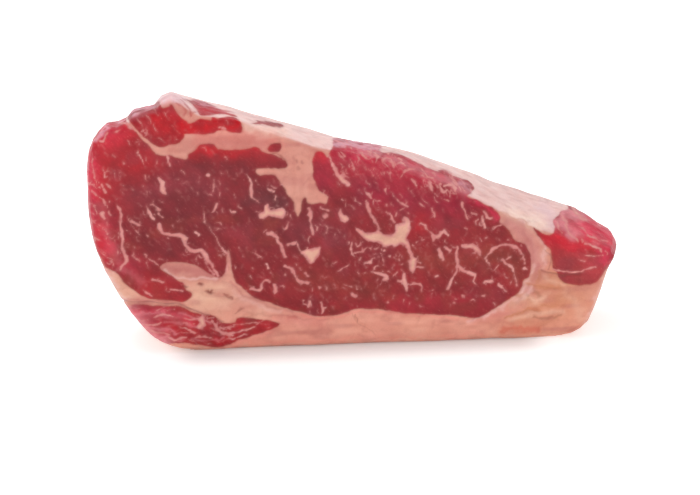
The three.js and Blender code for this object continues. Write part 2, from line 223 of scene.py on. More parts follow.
# Streaks of fat in the muscles on the shown face: half widths along the streak, then its places.
STREAKS = [
    # The eye, thick end.
    ((0.5, 1, 1, 0.5), (-72.2, 72), (-71.3, 70), (-70.8, 67), (-70, 65.5)),
    ((0.2, 0.5, 0.3), (-69.5, 82), (-68.8, 79), (-68, 76.5)), ((0.3, 0.2), (-77.5, 73), (-76.8, 71)),
    ((0.3, 0.2), (-78, 69), (-77, 66.5)), ((0.1, 0.2, 0.1), (-79.5, 83), (-78, 79), (-77, 76.5)),
    ((0.2, 0.2), (-66, 71.5), (-65, 71)), ((1, 0.7), (-93.5, 58.5), (-92.8, 56.5)),
    ((0.2, 0.3, 0.2), (-97, 68), (-95, 65.5), (-92.5, 63)), ((0.2, 0.4), (-93, 70), (-92, 67)),
    ((0.1, 0.2), (-92.5, 77), (-92, 73)),
    ((0.1, 0.3, 0.4, 0.2), (-96, 83), (-96.4, 78), (-95.8, 74), (-95, 70)),
    ((0.3, 0.5, 0.7, 0.5, 0.6, 0.3), (-88, 62), (-86.5, 58), (-87, 54), (-86.5, 48.5), (-87, 45),
     (-86, 41.5), (-85.3, 39), (-86.5, 37), (-88, 35.5)),
    ((0.3, 0.5, 0.3), (-77, 61), (-76.3, 58), (-74.5, 55.5)), ((0.3, 0.4, 0.2), (-75, 61.5), (-72, 59)),
    ((0.7, 0.4), (-82.5, 55), (-80, 53.5)), ((0.3, 0.4, 0.3), (-83, 53.5), (-81, 51), (-80, 49.5)),
    ((0.2, 0.2), (-84, 57), (-83, 54)), ((0.4, 0.3), (-72.5, 57.5), (-71.5, 56)),
    ((0.6, 0.9, 0.8), (-73, 53.5), (-72.6, 51.6), (-71.5, 50)),
    ((0.8, 0.7, 1, 1.3), (-71.5, 50), (-68, 49), (-65, 48.5), (-63.6, 47)),
    ((1.2, 0.6), (-64, 47.4), (-63.5, 45)),
    ((0.6, 0.7, 0.8, 0.9, 0.8, 0.7, 0.7, 0.5, 0.4), (-63.5, 45), (-61.5, 42.5), (-59, 42), (-57.5, 42.3),
     (-56, 40.5), (-55.5, 38), (-54, 36.5), (-53, 34.5), (-51.5, 31.5)),
    ((0.3, 0.3, 0.2), (-56, 37.5), (-55, 35), (-53, 32)), ((0.3, 0.3), (-59.5, 49.5), (-58.5, 48.5)),
    ((0.1, 0.25, 0.3, 0.5, 1.2), (-56, 60), (-56, 55), (-54, 51), (-52, 47.5), (-50, 43.5), (-48.5, 41),
     (-47.5, 40), (-47.3, 36), (-48, 32)),
    ((0.5, 0.3), (-51, 61), (-52.5, 57.5)), ((0.5, 0.5), (-54.2, 72.5), (-53.7, 72.3)),
    ((0.4, 0.1), (-52, 70.5), (-52.5, 66)),
    ((0.1, 0.4, 0.5, 0.4, 0.2), (-40, 72), (-38.4, 69), (-38.5, 64), (-37, 62), (-35.5, 60.5)),
    ((0.1, 0.2, 0.1), (-32, 69), (-32, 66.5), (-30, 65)), ((0.4, 0.3), (-25, 52.5), (-26, 50)),
    ((0.5, 0.8, 0.5), (-32.5, 48), (-30.6, 47.8), (-29, 46.4)),
    ((0.4, 0.7, 0.4), (-29, 45.5), (-27, 41.5), (-26, 38.5)), ((0.5, 0.4), (-25, 43.5), (-22.5, 44)),
    ((0.2, 0.3, 0.5), (-22, 44.5), (-20.5, 41), (-19, 39.5)),
    ((0.6, 0.5, 0.9, 0.6), (-26, 34.5), (-23.5, 33), (-22.5, 30), (-21, 28), (-19.5, 27.7), (-17.5, 27)),
    ((0.5, 0.3), (-18.5, 31.5), (-17.5, 30)), ((0.3, 0.4, 0.3), (-38, 40.5), (-36.5, 40), (-35, 39)),
    ((0.2, 0.2), (-37, 41.5), (-36, 38.5)), ((0.3, 0.3), (-33, 35.5), (-32.5, 34)),
    ((0.3, 0.5, 0.3), (-39, 25.5), (-36, 24.8), (-35, 27.5), (-34, 28.8), (-32, 28.5)),
    ((0.5, 0.6), (-30.5, 27), (-30.2, 23.5)), ((0.3, 0.4), (-17, 19.5), (-17.2, 17.5)),
    ((0.3, 0.5, 0.4), (-13, 19), (-12, 16.5), (-12.5, 14)), ((0.4, 0.2), (-12, 16.8), (-10.5, 17)),
    ((0.3, 0.7, 0.3), (-83, 41), (-80.5, 38.5)), ((0.3, 0.6, 0.3), (-77, 39.5), (-74, 37)),
    ((0.5, 1, 0.6), (-76, 31), (-72, 29.8)), ((0.4, 0.5, 0.3), (-79.5, 27), (-76.5, 24.5)),
    ((0.3, 0.5, 0.3), (-69, 27), (-65, 26)),
    # The eye, middle.
    ((0.5, 0.7, 0.5, 0.3), (-17, 58), (-16.8, 55), (-16, 51), (-15.5, 47.5)),
    ((0.9, 0.8), (-11, 54.6), (-10.7, 54.2)), ((0.3, 0.3), (-12.5, 58), (-10, 56.5)),
    ((0.4, 0.9, 1.4), (-5.5, 57), (-5, 54), (-3.5, 53)),
    ((0.4, 0.5, 0.7, 1.1, 0.7), (-10.5, 80), (-9, 77), (-7.5, 73.5), (-6, 70.5), (-3.5, 68), (-2, 66.5)),
    ((0.2, 0.4, 0.2), (-1.5, 76.5), (-0.5, 74), (0, 72)), ((0.2, 0.3, 0.2), (3.5, 65), (5, 62.5), (6, 61)),
    ((0.4, 0.2), (11.5, 64.5), (12, 62.5)), ((0.35, 0.3, 0.2), (14, 63), (16, 60), (20, 57)),
    ((0.5, 0.3), (0.5, 60.5), (2.5, 59)),
    ((0.4, 0.5, 0.5, 0.5), (4.6, 59.8), (5.5, 56.5), (7.5, 52), (9.3, 48.5)),
    ((0.3, 0.5, 0.5), (13, 54.5), (14.5, 52), (15.2, 50.5)), ((0.3, 0.2), (15.8, 55), (15.5, 53.5)),
    ((0.3, 0.3), (22.5, 34.5), (25, 34)), ((0.3, 0.3), (23, 32.3), (26, 32)),
    ((0.6, 1, 0.9, 0.4), (18.5, 29.5), (19, 27), (19.5, 25), (19.8, 22.5)),
    ((0.6, 0.5), (16.6, 26.6), (17.6, 26.4)), ((0.3, 0.25, 0.2), (20, 25.2), (25, 25), (25.7, 22)),
    ((0.4, 0.6, 0.7, 0.9, 0.5), (6.5, 31), (9, 30), (11.5, 29.5), (12.5, 28), (11, 27.5)),
    ((0.3, 0.4, 0.3), (-1, 43.5), (-1.2, 40), (0, 37.5)),
    ((0.3, 0.4, 0.3), (0.3, 39.3), (3, 39.5), (4.5, 41), (6, 40.5)),
    ((0.4, 0.6, 0.4), (4, 34.5), (6, 35), (6.5, 36.5)), ((0.3, 0.3), (10, 37.5), (10.5, 35.5)),
    ((0.2, 0.4, 0.2), (-6, 31.5), (-4, 33), (-2.5, 34)), ((0.1, 0.2), (-4, 26), (-1, 24.8)),
    ((0.6, 0.6), (-1, 22), (0.5, 21)),
    # The eye, tail half.
    ((0.4, 0.5, 0.8, 0.8, 0.5), (25, 50), (28, 47.5), (29.5, 45.5), (31, 44.5), (33.5, 46.5), (35.5, 44.5)),
    ((0.6, 0.3), (30, 44.5), (30, 42.5)), ((0.6, 0.9, 0.5), (32, 39.5), (32.5, 37), (33.5, 34.5)),
    ((0.4, 0.6, 0.3), (34, 40), (36, 39), (36, 37.5)),
    ((0.5, 0.6, 0.5, 0.5, 0.6, 0.6), (38.8, 40), (38.6, 36), (39, 32.5), (38.5, 29), (36.5, 26),
     (35.5, 22.5)),
    ((0.5, 0.8, 0.5, 0.3), (39.5, 32), (42, 29.7), (45, 28.5), (45.7, 28), (45.5, 26), (46, 24)),
    ((0.8, 1.1, 1.1, 0.6), (41, 40.3), (44.5, 39.8), (46.5, 38.5), (47.5, 36.5)),
    ((0.4, 0.5, 0.6, 0.6, 0.5, 0.4, 0.3), (49.5, 34.5), (51, 37), (53, 39), (56, 40), (59, 39.7),
     (62, 38.3), (64, 35), (64.8, 32)),
    ((0.4, 0.3), (50, 34), (51.5, 32)),
    ((0.2, 0.4, 0.4, 0.3, 0.3, 0.2), (56, 34.5), (57.5, 32.5), (59.5, 31), (61, 28), (61.7, 25),
     (62.2, 22.5)),
    ((0.2, 0.2), (54.5, 32), (53.5, 29.5)), ((0.2, 0.3), (57.8, 34.6), (59, 35)),
    ((0.5, 0.4), (64.8, 30.2), (65.2, 29.6)), ((0.3, 0.3), (50, 25), (52.5, 25)),
    ((0.3, 0.4, 0.3), (55, 24), (57, 21.5), (58, 20.5)), ((0.4, 0.4), (41.2, 19.3), (41.8, 19.3)),
    ((0.4, 0.4), (48.6, 19.2), (49.4, 19.1)), ((0.3, 0.3), (37.7, 17), (38.3, 17)),
    ((0.4, 0.4), (31.2, 28), (31.8, 28)), ((0.5, 0.5, 0.3), (40.5, 58), (41.5, 54), (42.5, 51)),
    ((0.4, 0.6, 0.4), (48, 52), (49, 47.5)), ((0.3, 0.4), (52.5, 47), (55, 48.5)),
    ((0.4, 0.3), (29, 56), (30, 52.5)),
    # Strands over the rounded upper edge of the eye: fat, with painted highlights among them.
    ((0.2, 0.5, 0.4, 0.2), (17, 69), (18.5, 71.5), (20.5, 72.2), (22.5, 72)),
    ((0.2, 0.5, 0.5, 0.3), (25, 72), (26.5, 70), (27.5, 68.6), (29.2, 68)),
    ((0.4, 0.6, 0.2), (28, 66.5), (28.6, 65), (29, 62.5)), ((0.2, 0.4, 0.2), (29.6, 67.5), (31.4, 64)),
    ((0.2, 0.5, 0.4, 0.2), (31.5, 66), (32.2, 63.8), (33.2, 62.3), (34.5, 63)),
    ((0.4, 0.7, 0.6, 0.3), (33.5, 64.8), (36.5, 65.2), (37.4, 64), (37.6, 62.6)),
    ((0.2, 0.5, 0.3), (36, 68), (37, 66.8), (38.3, 65.2)),
    ((0.3, 0.6, 0.4), (21.4, 68.2), (22.2, 67), (23, 65.4)),
    ((0.2, 0.4, 0.3), (-5, 79.8), (-4.2, 79), (-3.8, 78)),
    ((0.2, 0.5, 0.4, 0.2), (2, 79), (3.5, 77.6), (5, 76.6), (6.5, 77.4)),
    ((0.2, 0.5, 0.3), (7.5, 79), (8.5, 77), (8, 75)),
    ((0.3, 0.6, 0.5, 0.2), (10.5, 76.4), (12.5, 76.8), (14, 75.4), (14.6, 73)),
    ((0.1, 0.3, 0.1), (16, 74.5), (18, 74.2)), ((0.2, 0.3, 0.1), (25, 61), (26.5, 59), (28, 57.2)),
    ((0.3, 0.4, 0.2), (33, 60), (35, 59)), ((0.3, 0.4, 0.2), (21, 63.5), (22, 61)),
    ((0.3, 0.5, 0.3), (44, 54), (46, 53)), ((0.3, 0.6, 0.4), (48.5, 54), (50, 51.6), (52, 51)),
    # The cap muscle and the silvery skin above it.
    ((0.3, 0.5, 0.3), (-85.4, 94.4), (-83, 93), (-80.4, 91)),
    ((0.1, 0.3, 0.1), (-79.4, 95.6), (-78, 93.6), (-77, 91)),
    ((0.1, 0.3, 0.1), (-76.4, 97), (-75.2, 95.4), (-74.6, 93.6)),
    ((0.1, 0.25, 0.1), (-76, 90.4), (-74.6, 88)), ((0.1, 0.3, 0.1), (-73, 99), (-71.8, 96.6)),
    ((0.1, 0.25, 0.1), (-73.4, 92), (-72.4, 89.8)), ((0.1, 0.3, 0.1), (-72, 88), (-69.6, 85.6)),
    ((0.1, 0.25, 0.1), (-69.4, 97.6), (-68, 95)), ((0.4, 0.6, 0.4), (-49.4, 91.4), (-47.8, 90.6)),
    # The first streak on the next line is a painted highlight on the left lobe's edge.
    ((0.2, 0.4, 0.2), (-94.5, 88), (-92, 87.4), (-90.4, 91)), ((0.3, 0.3), (-88, 90.5), (-86, 91.4)),
    # The tail muscle.
    ((0.2, 0.4, 0.5, 0.4, 0.3), (72.5, 30), (76, 29.2), (79.5, 28), (83, 27.6), (86, 28), (89, 29),
     (92, 29.2)),
    ((0.2, 0.5, 0.4, 0.2), (78, 52), (80, 48), (81, 45), (83, 42.5), (85, 40.4)),
    ((0.2, 0.3, 0.2), (76.5, 49.5), (77.5, 46), (79, 44)),
    ((0.3, 0.8, 0.5, 0.2), (81.5, 55), (84, 52), (86, 49.6), (88.5, 48.4)),
    ((0.1, 0.3, 0.2), (84.5, 46.5), (87, 45), (88.5, 42.5), (91, 41.2), (93.5, 40)),
    ((0.2, 0.5, 0.4, 0.1), (88, 39.2), (91, 38), (93, 37.3), (94.2, 36)),
    ((0.1, 0.3, 0.1), (88, 34.5), (91, 34.3), (94.5, 34.6)), ((0.1, 0.3, 0.1), (93, 39.8), (96.5, 40)),
    ((0.2, 0.2), (85.5, 33), (88, 32)),
    # The strip of muscle below the long crease.
    ((0.6, 1.1, 1.3, 1), (-57.5, 14.6), (-58, 13.4), (-57.6, 12), (-59, 10.6)),
    ((0.4, 0.5, 0.5, 0.5, 0.3), (-54, 13), (-53, 10.6), (-51.4, 8.6), (-49, 7.2), (-46.4, 6.6)),
    ((0.2, 0.5, 0.4, 0.2), (-76, 15), (-73, 16.2), (-70, 15.6), (-67.5, 15)),
    ((0.3, 0.5, 0.3), (-80, 12.6), (-76.5, 12), (-73.5, 12.8)),
    ((0.2, 0.5, 0.5, 0.2), (-77, 9.6), (-74.5, 8.8), (-72, 8.6), (-70.5, 7.6)),
    ((0.2, 0.4, 0.6, 0.3), (-66.5, 10.8), (-63.6, 10), (-61.6, 8.6), (-60.4, 8)),
    ((0.3, 0.5, 0.5, 0.3), (-71, 6.6), (-68.6, 5.6), (-66, 6.2), (-64, 6.6)),
    ((0.2, 0.4, 0.3), (-64.6, 14.8), (-62.4, 13.8), (-61, 14)),
    ((0.2, 0.4, 0.2), (-61, 6), (-57, 6.6), (-54, 5.6)),
    ((0.1, 0.4, 0.2), (-49, 6.8), (-43, 8.4), (-38, 9.4)),
    ((0.1, 0.4, 0.1), (-52, 4.2), (-46, 5.2), (-41, 6.8)),
    ((0.05, 0.25, 0.05), (-46, 11), (-40, 11.4), (-36, 11.6)),
]

# Random flecks of fat: how many, the box they lie in (low x, high x, low z, high z), the way they run in
# degrees with its spread, their shortest and longest, and their least and greatest half width.
FLECKS = [
    (140, (-93, -44, 26, 68), -52, 22, (0.6, 2.4), (-0.14, 0.17)),
    (80, (-99, -44, 66, 93), -60, 22, (0.6, 2.2), (-0.14, 0.15)),
    (50, (-100, -86, 38, 76), -62, 20, (1, 3.2), (-0.08, 0.20)),
    (110, (-46, -10, 14, 74), -62, 30, (0.6, 2.2), (-0.14, 0.18)),
    (110, (-12, 40, 15, 60), -68, 34, (0.6, 2), (-0.14, 0.18)),
    (65, (-2, 25, 24, 45), -60, 50, (0.5, 1.6), (-0.05, 0.24)),
    (65, (38, 66, 13, 54), -60, 45, (0.6, 2), (-0.14, 0.18)),
    (80, (-8, 46, 56, 84), -58, 14, (1, 3.4), (-0.14, 0.16)),
    (36, (20, 45, 61, 73), -56, 18, (1.5, 3.6), (-0.08, 0.18)),
    # The flecks over the eye's upper edge are partly painted glints of light.
    (64, (-6, 18, 69, 81), -60, 16, (1, 3.2), (-0.05, 0.22)),
    (18, (-83, -58, 85, 101), -60, 30, (0.8, 2.4), (-0.12, 0.10)),
    (10, (76, 98, 34, 52), -35, 24, (1, 3), (-0.12, 0.10)),
    (46, (-86, -62, 4, 20), -6, 12, (2, 6.5), (-0.20, 0.12)),
    (26, (-66, -48, 3, 15), -22, 12, (1.6, 5), (-0.20, 0.12)),
    (10, (-52, -30, 4, 14), 12, 14, (1.5, 4), (-0.14, 0.10)),
]

# Soft strokes of colour: colour, strength, width, and the places along each.
LEAN_STROKES = [
    # Along the eye's upper edge, where it turns up to the light: painted light and sheen, with a brown line
    # along it.
    (SILVERSKIN_AND_SHEEN, 0.8, 1.1, (-8, 84), (-3, 83), (3, 81.8), (9, 80.6)),
    (ROSE_PINK, 0.5, 1, (2, 79.4), (9, 78.4)),
    (ROSE_PINK, 0.35, 1.8, (12, 76.6), (24, 71.6), (34, 67), (42, 63)),
    (BROWN_LINE, 0.2, 0.4, (26, 73.6), (33, 70.8), (41, 67.6)),
    (MEAT_ROSE_AND_SHEEN, 0.6, 1.4, (43, 60), (48, 57), (52, 54.6), (54, 51)),
    (MEAT_DULL, 0.6, 3.4, (-70, 88), (-67, 88)), (SILVERSKIN_AND_SHEEN, 0.5, 0.9, (38, 66), (41.6, 65.4), (43, 63)),
    # Painted highlight on the left lobe's upper edge.
    (SILVERSKIN_AND_SHEEN, 0.7, 0.7, (-95, 87), (-92.5, 89.5), (-90.5, 92.5)),
    # The cap's silverskin.
    (SILVERSKIN_AND_SHEEN, 0.75, 1.1, (-86, 94.5), (-83, 97), (-78, 98.6), (-73, 100)),
    (MEAT_MAUVE, 0.6, 1.6, (-82, 96), (-77, 96.6), (-72, 98)),
    # The tail muscle's top, which faces up: painted light and sheen.
    (ROSE_PINK, 0.4, 1.3, (78, 52), (79, 47), (83, 42)),
    (LIT_TAIL_RED, 0.75, 2.6, (73, 42.6), (80, 40.4), (88, 39)),
    (MEAT_ROSE_AND_SHEEN, 0.6, 2, (96, 44), (97.4, 38), (96, 32)),
    (MEAT_ROSE_AND_SHEEN, 0.7, 3, (87, 46.6), (90, 45.4), (95, 43)),
    (ROSE_PINK, 0.7, 2.2, (78, 53), (82, 51.5), (86, 49.4)),
    (ROSE_PINK, 0.2, 0.8, (86, 47), (89, 44), (92, 41.6), (97, 39)),
    (ROSE_PINK, 0.25, 0.8, (88, 40), (93, 38)),
    (SILVERSKIN_AND_SHEEN, 0.2, 0.6, (85, 53.5), (91, 49.5), (96, 45.5), (99, 41.5)),
    (ROSE_PINK, 0.45, 1.2, (76, 47), (77, 50), (79, 53)),
    (MEAT_FLAME, 0.9, 2.4, (-62, 92), (-54, 91.6), (-44, 91.6)),
    (MEAT_FLAME, 0.5, 4, (-72, 95), (-68, 90), (-64, 89)),
    (SILVERSKIN_AND_SHEEN, 0.4, 0.6, (-60, 102.4), (-50, 99.2), (-43, 97)),
    (MEAT_MAUVE, 0.6, 4.5, (-22, 48), (-14, 50), (-8, 45)),
    (MEAT_PLUM, 0.65, 6, (4, 64), (18, 61), (30, 58), (40, 56)),
    (MEAT_DULL, 0.9, 4.5, (-38, 62), (-28, 61)), (MEAT_SHADE, 0.6, 3.4, (-37, 62), (-28, 60.4)),
    (MEAT_DULL, 0.7, 3.4, (-22, 47), (-19, 43)), (ROSE_PINK, 0.25, 2.4, (35, 67), (42, 61.6)),
    (ROSE_PINK, 0.5, 2.2, (78, 48), (81, 45.4), (84, 43)), (MEAT_DULL, 0.5, 4, (-58, 76), (-42, 75)),
    (MEAT_SCARLET, 0.5, 2, (-62, 5), (-54, 4.4), (-46, 5)),
    (MEAT_MAUVE, 0.5, 5, (-80, 66), (-66, 70), (-52, 66)),
    (MEAT_BROWN, 0.5, 5, (-20, 30), (-6, 26), (10, 22)),
    (MEAT_BROWN, 0.6, 5, (22, 36), (36, 33), (50, 36)),
    (MEAT_BROWN, 0.7, 4, (53, 36), (60, 34), (62, 27)), (MEAT_BROWN, 0.6, 2.2, (-33, 52.6), (-29.6, 53)),
    (ROSE_PINK, 0.85, 3.2, (-86, 19.6), (-82, 12), (-77.4, 6.4), (-73, 4.4)),
    (ROSE_PINK, 0.45, 0.7, (-83, 17), (-76, 17.6), (-70, 16.6)),
    (ROSE_PINK, 0.45, 0.6, (-81, 10.6), (-74, 10.6), (-68, 8.8)),
    (ROSE_PINK, 0.4, 0.6, (-78, 6.4), (-72, 7), (-66, 4.8)),
    (ROSE_PINK, 0.15, 1.6, (-88, 36), (-84, 33.6), (-80, 30)),
    (ROSE_PINK, 0.12, 2, (-94, 62), (-93, 54), (-91, 46), (-89, 40)),
    (ROSE_PINK, 0.15, 1.6, (-80, 16), (-72, 16.6), (-66, 15)),
    (MEAT_DULL, 0.4, 1.5, (-60, 10), (-55, 7.5), (-52, 7)),
    (MEAT_DULL, 0.3, 1.3, (-70, 8.5), (-64, 7), (-58, 4.6)),
    (ROSE_PINK, 0.3, 0.7, (-72, 13.6), (-66, 12.6), (-60, 10.6)),
    (ROSE_PINK, 0.35, 0.6, (-66, 16.6), (-60, 14.6), (-55, 12)),
    (ROSE_PINK, 0.3, 0.6, (-62, 5), (-56, 4.6), (-50, 5.4)),
    (MEAT_ROSE_AND_SHEEN, 0.4, 1.5, (-84, 18.6), (-76, 18.4), (-68, 16.4), (-62, 13)),
    # Painted light on the tail's top, then painted shade on its lower part.
    (MEAT_CERISE, 0.7, 3, (91, 47), (94, 44), (97, 40.6)), (MEAT_DULL, 0.3, 3, (82, 24.6), (90, 24.6)),
]
FAT_STROKES = [
    # The seam and the outside above it.
    (FAT_SALMON, 0.8, 3.8, (-56, 87), (-48, 86.4), (-40, 86.8), (-30, 86)),
    (FAT_BLUSH, 0.8, 3.2, (58, 49), (65.6, 42), (69, 34), (69.4, 27), (66, 21)),
    # Mauve lines in the fat beside the tail: painted shade in its folds.
    (FAT_MAUVE, 0.5, 0.9, (64, 44), (67.4, 39), (67.6, 33), (68.8, 27.6)),
    (FAT_PALE, 0.4, 0.9, (70.4, 43), (72.4, 38), (72.6, 31)),
    (FAT_SALMON, 0.6, 2.8, (-31, 12.4), (-22, 11.6), (-12, 11.4)),
    (FAT_MAUVE, 0.5, 3.4, (-56, 86.4), (-46, 86), (-34, 85.6)),
    (FAT_MAUVE, 0.2, 2.6, (-68, 84), (-62, 88), (-57, 91)),
    (FAT_MAUVE, 0.22, 2.6, (-28, 12.4), (-20, 12), (-12, 11.4)),
    (FAT_MAUVE, 0.22, 3, (58, 49), (65.6, 42), (69, 34), (69.4, 27), (67, 20), (62, 14), (50, 10)),
    (FAT_SALMON, 0.5, 2.6, (47, 9.6), (55, 11), (62, 14.4)),
    (FAT_WHITE, 0.45, 1.8, (-40, 90.6), (-32, 89.4), (-25, 88)),
    (FAT_GREY, 0.7, 1.2, (-46, 97.6), (-40, 96), (-34, 93.6)),
    (FAT_GREY, 0.45, 0.8, (-34, 93.6), (-20, 90.6), (-6, 85)),
    # Painted highlight on the nub at the peak.
    (LILAC_HIGHLIGHT, 0.85, 2, (-71, 102), (-67, 103.6), (-63.5, 102)),
    (FAT_PINK, 0.5, 1.6, (-70, 100.6), (-67, 101.4), (-64.4, 99.6)),
    (BLOOD_RED, 0.6, 0.45, (-63.5, 102.5), (-61, 99), (-59, 96.4)),
    (BLOOD_RED, 0.45, 0.35, (-65.5, 101.5), (-63, 98.6), (-61.5, 96.4)),
    (BROWN_LINE, 0.6, 0.4, (-31, 80.2), (-28, 79.3), (-26, 77.6), (-25, 75.6)),
    (BROWN_LINE, 0.5, 0.5, (-22.2, 77.4), (-21.8, 76.6)),
    (BROWN_LINE, 0.4, 0.5, (-19.2, 76.8), (-18.8, 76.2)),
    (BROWN_LINE, 0.4, 0.5, (-21.2, 74.4), (-20.8, 73.6)),
    (FAT_WHITE, 0.7, 2.6, (59, 53.4), (64, 51), (71, 47.6)),
    (FAT_GREY, 0.55, 1.2, (46, 69), (58, 63.6), (68, 59.8), (78, 56)),
    # Painted highlight where the tail's top begins.
    (LILAC_HIGHLIGHT, 0.5, 2.2, (71, 55), (74, 51), (75.4, 47)),
    (FAT_RUST, 0.35, 0.5, (55, 53.2), (61, 50.2), (66.5, 47.4)),
    (FAT_GREY, 0.5, 0.9, (10, 80.8), (20, 78), (30, 74.8)),
    # The fat round the corner muscle at the thick end.
    (FAT_MAUVE, 0.9, 2.7, (-71, 35.6), (-66, 35), (-60, 34.4), (-55, 32.6), (-52, 31.2)),
    (FAT_PALE, 0.5, 0.6, (-71, 34.2), (-67, 31.6), (-58, 31.6), (-52, 30)),
    (FAT_PALE, 0.6, 1.6, (-94.5, 38), (-91.5, 31.5), (-89, 26), (-87, 23)),
    # Mauve along the long crease: painted shade in it.
    (FAT_MAUVE, 0.55, 0.8, (-87, 23.2), (-79, 22.4), (-72, 21.4), (-66, 20.6), (-62, 18), (-57, 16),
     (-52, 13.6)),
    # Brown marks in small pits: their own brown, with painted shade in the pits.
    (BROWN_LINE, 0.8, 0.5, (-64.4, 28.2), (-63.4, 27.8)),
    (BROWN_LINE, 0.8, 0.5, (-58.4, 28.6), (-57.2, 28.3)),
    (BROWN_LINE, 0.9, 0.55, (-55.2, 25.2), (-54.4, 24.4), (-53.6, 25)),
    (BROWN_LINE, 0.7, 0.5, (-50, 23.2), (-47.2, 22)),
    (BROWN_LINE, 0.5, 0.6, (-44, 16), (-43.2, 17), (-42, 17.4)),
    # The fat below the eye.
    # Mauve along the crease under the eye: painted shade in it.
    (FAT_MAUVE, 0.5, 0.7, (-47, 28), (-42, 23.6), (-36, 19.8), (-30, 17.2), (-24, 15.2)),
    (FAT_PALE, 0.22, 0.9, (-46, 24), (-40, 20.5), (-34, 17), (-28, 15)),
    (BROWN_LINE, 0.2, 0.5, (-42, 15.8), (-35, 14.5), (-25, 13), (-18, 12.4), (-10, 11)),
    (BLOOD_RED, 0.35, 1.1, (-25, 12.4), (-23, 12.4)),
    (FAT_SALMON, 0.6, 0.7, (-20, 14.2), (-13, 12.2), (-6, 13), (1, 14.8), (10, 14), (18, 12.5), (30, 11.5),
     (40, 10.2)),
    (FAT_PALE, 0.45, 1, (44, 9), (51, 10.4), (58, 14.6), (63.5, 19.6), (66, 25), (68, 31)),
    # A brown line down the crease: painted shade in it.
    (BROWN_LINE, 0.45, 0.4, (0, 13.4), (1, 10)),
    (FAT_SALMON, 0.4, 1.1, (-46, 3), (-20, 3.2), (20, 3.2), (50, 3.4)),
    # Painted shade along the bottom edge, where the fat turns under.
    (FAT_BOTTOM_SHADE, 0.25, 0.6, (-66, 2.4), (-40, 1.2), (0, 1.2), (50, 1.2), (80, 1.6)),
    # The tail's fat.
    (FAT_RUST, 0.5, 1.6, (57, 4), (64, 4.4), (70, 4)),
    (FAT_SALMON, 0.6, 2, (-50, 3), (-42, 4.4), (-34, 6.4)),
    (FAT_RED, 0.7, 1.3, (57, 4.4), (64, 4.6), (70, 4.2)),
    (FAT_RUST, 0.35, 3.4, (69, 26), (74, 23), (79, 20.6)),
    # Dark lines over the tail fat's creases: painted shade, partly the fat's own rust.
    (FAT_RUST, 0.7, 0.8, (66, 23.4), (70, 22.4), (74, 22), (77.5, 20.6)),
    (FAT_UMBER, 0.12, 3, (14, 4), (34, 4)), (FAT_RUST, 0.6, 0.7, (62.4, 19), (65, 17.2), (67.6, 15.4)),
    # Painted shade over a crease, partly the fat's own rust.
    (FAT_RUST, 0.8, 0.7, (58, 9.4), (63, 11), (66.6, 12.2), (68.6, 12.6), (70.4, 11.4)),
    (FAT_RUST, 0.6, 0.8, (72, 14.4), (76, 13), (80, 14)), (FAT_RUST, 0.5, 0.8, (71, 28.6), (70.6, 24)),
    (FAT_LIGHT, 0.7, 1.3, (60.4, 14), (66, 17), (70, 16), (73, 18.6)),
    (FAT_LIGHT, 0.6, 1, (60, 8), (66, 9.8), (72, 10.4), (80, 10.4)),
    (FAT_LIGHT, 0.45, 2, (81, 18.6), (86, 14), (87, 9)),
    (FAT_LIGHT, 0.5, 0.9, (72.6, 27), (74.6, 24.4), (80, 21.6)),
    (FAT_UMBER, 0.6, 0.8, (68.6, 20.2), (70, 19.4), (71, 18.6)),
    (FAT_UMBER, 0.6, 0.5, (65.6, 18.4), (66.4, 17.6)),
    # Painted shade over a crease, partly the fat's own brown.
    (FAT_UMBER, 0.7, 0.5, (69, 8.9), (74, 8.3), (79, 8.5)),
    (FAT_UMBER, 0.3, 0.6, (72, 2.8), (80, 2.8), (87, 3.4)),
    (FAT_PALE, 0.35, 0.9, (62, 16), (66, 18.6), (67.6, 22)),
    (FAT_PALE, 0.4, 1.2, (95.6, 24), (93, 14), (89.6, 6)),
]


def smoothstep(low, high, value):
    t = np.clip((value - low) / (high - low), 0.0, 1.0)
    return t * t * (3.0 - 2.0 * t)


def mix(a, b, share):
    return a + (b - a) * share


class Noise:
    """Smooth noise from -1 to 1, the same in each run."""

    CELLS = 32

    def __init__(self, seed):
        self.table = np.random.default_rng(seed).uniform(-1.0, 1.0, (self.CELLS,) * 3)

    def at(self, points, size):
        scaled = points / size
        cell = np.floor(scaled).astype(int)
        share = scaled - cell
        share = smoothstep(0.0, 1.0, share)
        total = np.zeros(len(points))
        for corner in np.ndindex(2, 2, 2):
            weight = np.prod(np.where(corner, share, 1.0 - share), axis=1)
            i, j, k = ((cell + corner) % self.CELLS).T
            total += weight * self.table[i, j, k]
        return total


def rounded(places, steps=3, closed=True):
    """A smooth line through places, as Catmull-Rom curves cut in steps."""
    p = np.array(places, float)
    if closed:
        before, after, last = np.roll(p, 1, 0), np.roll(p, -1, 0), np.roll(p, -2, 0)
    else:
        padded = np.vstack([p[:1], p, p[-1:]])
        before, p, after, last = padded[:-3], padded[1:-2], padded[2:-1], padded[3:]
    line = []
    for i in range(len(p)):
        for t in np.arange(steps) / steps:
            line.append(0.5 * (
                2 * p[i]
                + (after[i] - before[i]) * t
                + (2 * before[i] - 5 * p[i] + 4 * after[i] - last[i]) * t**2
                + (3 * p[i] - before[i] - 3 * after[i] + last[i]) * t**3
            ))
    if not closed:
        line.append(np.array(places[-1], float))
    return np.array(line)


def open_line(places):
    return rounded(places, closed=False) if len(places) > 2 else np.array(places, float)


def segment_distance(x, z, a, b):
    """Distance from points to the line from a to b, and how far along it they are as a share."""
    dx, dz = b[0] - a[0], b[1] - a[1]
    share = np.clip(((x - a[0]) * dx + (z - a[1]) * dz) / max(dx * dx + dz * dz, 1e-9), 0.0, 1.0)
    return np.hypot(x - a[0] - share * dx, z - a[1] - share * dz), share


